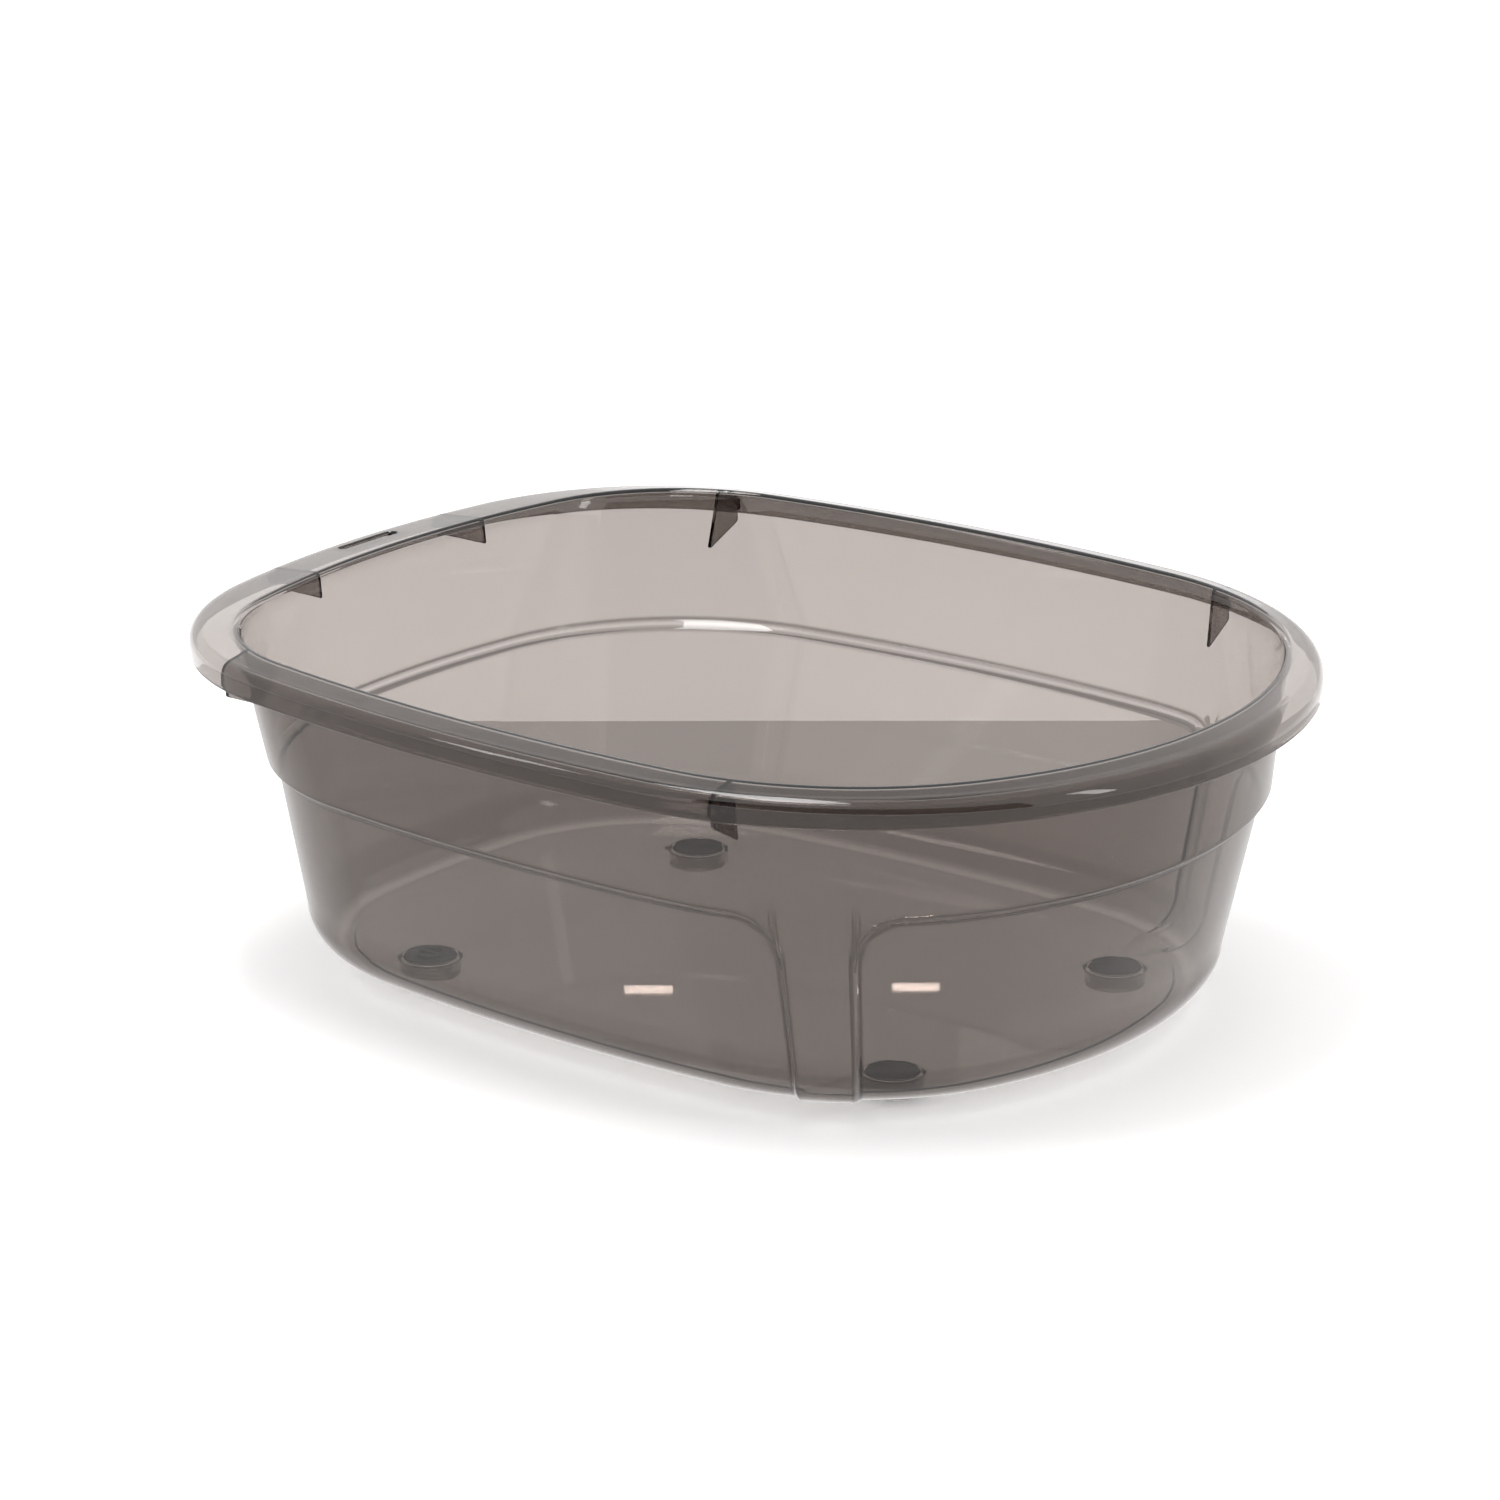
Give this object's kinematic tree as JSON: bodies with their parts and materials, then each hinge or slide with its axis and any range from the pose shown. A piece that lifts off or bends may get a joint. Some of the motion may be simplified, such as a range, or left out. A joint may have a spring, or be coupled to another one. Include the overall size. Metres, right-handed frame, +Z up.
{
  "type": "baby bathtub",
  "caption": "Clear moulded baby bathtub with a turned-down rim, recessed side panels, a grip with a hanging slot, and hollow feet closed by soft caps and a lift-out drain plug",
  "frame": {"origin": "on the ground, under the middle of the rim's length and width", "axes": "+X to the round foot end, +Y to the back long side, +Z up"},
  "size_m": [0.7, 0.56, 0.225],
  "materials": {
    "clear_plastic": "smoky clear moulded plastic, polished",
    "dark_rubber": "soft dark elastomer, satin"
  },
  "bodies": {
    "tub_body": {"tub": "clear_plastic", "foot_cap_head_back": "dark_rubber", "foot_cap_round_back": "dark_rubber", "foot_cap_round_front": "dark_rubber"},
    "plug_body": {"drain_plug": "dark_rubber"}
  },
  "joints": [
    {"name": "plug_lift", "type": "slide", "parent": "tub_body", "child": "plug_body", "axis": [0, 0, 1], "range_m": [0, 0.06]}
  ]
}
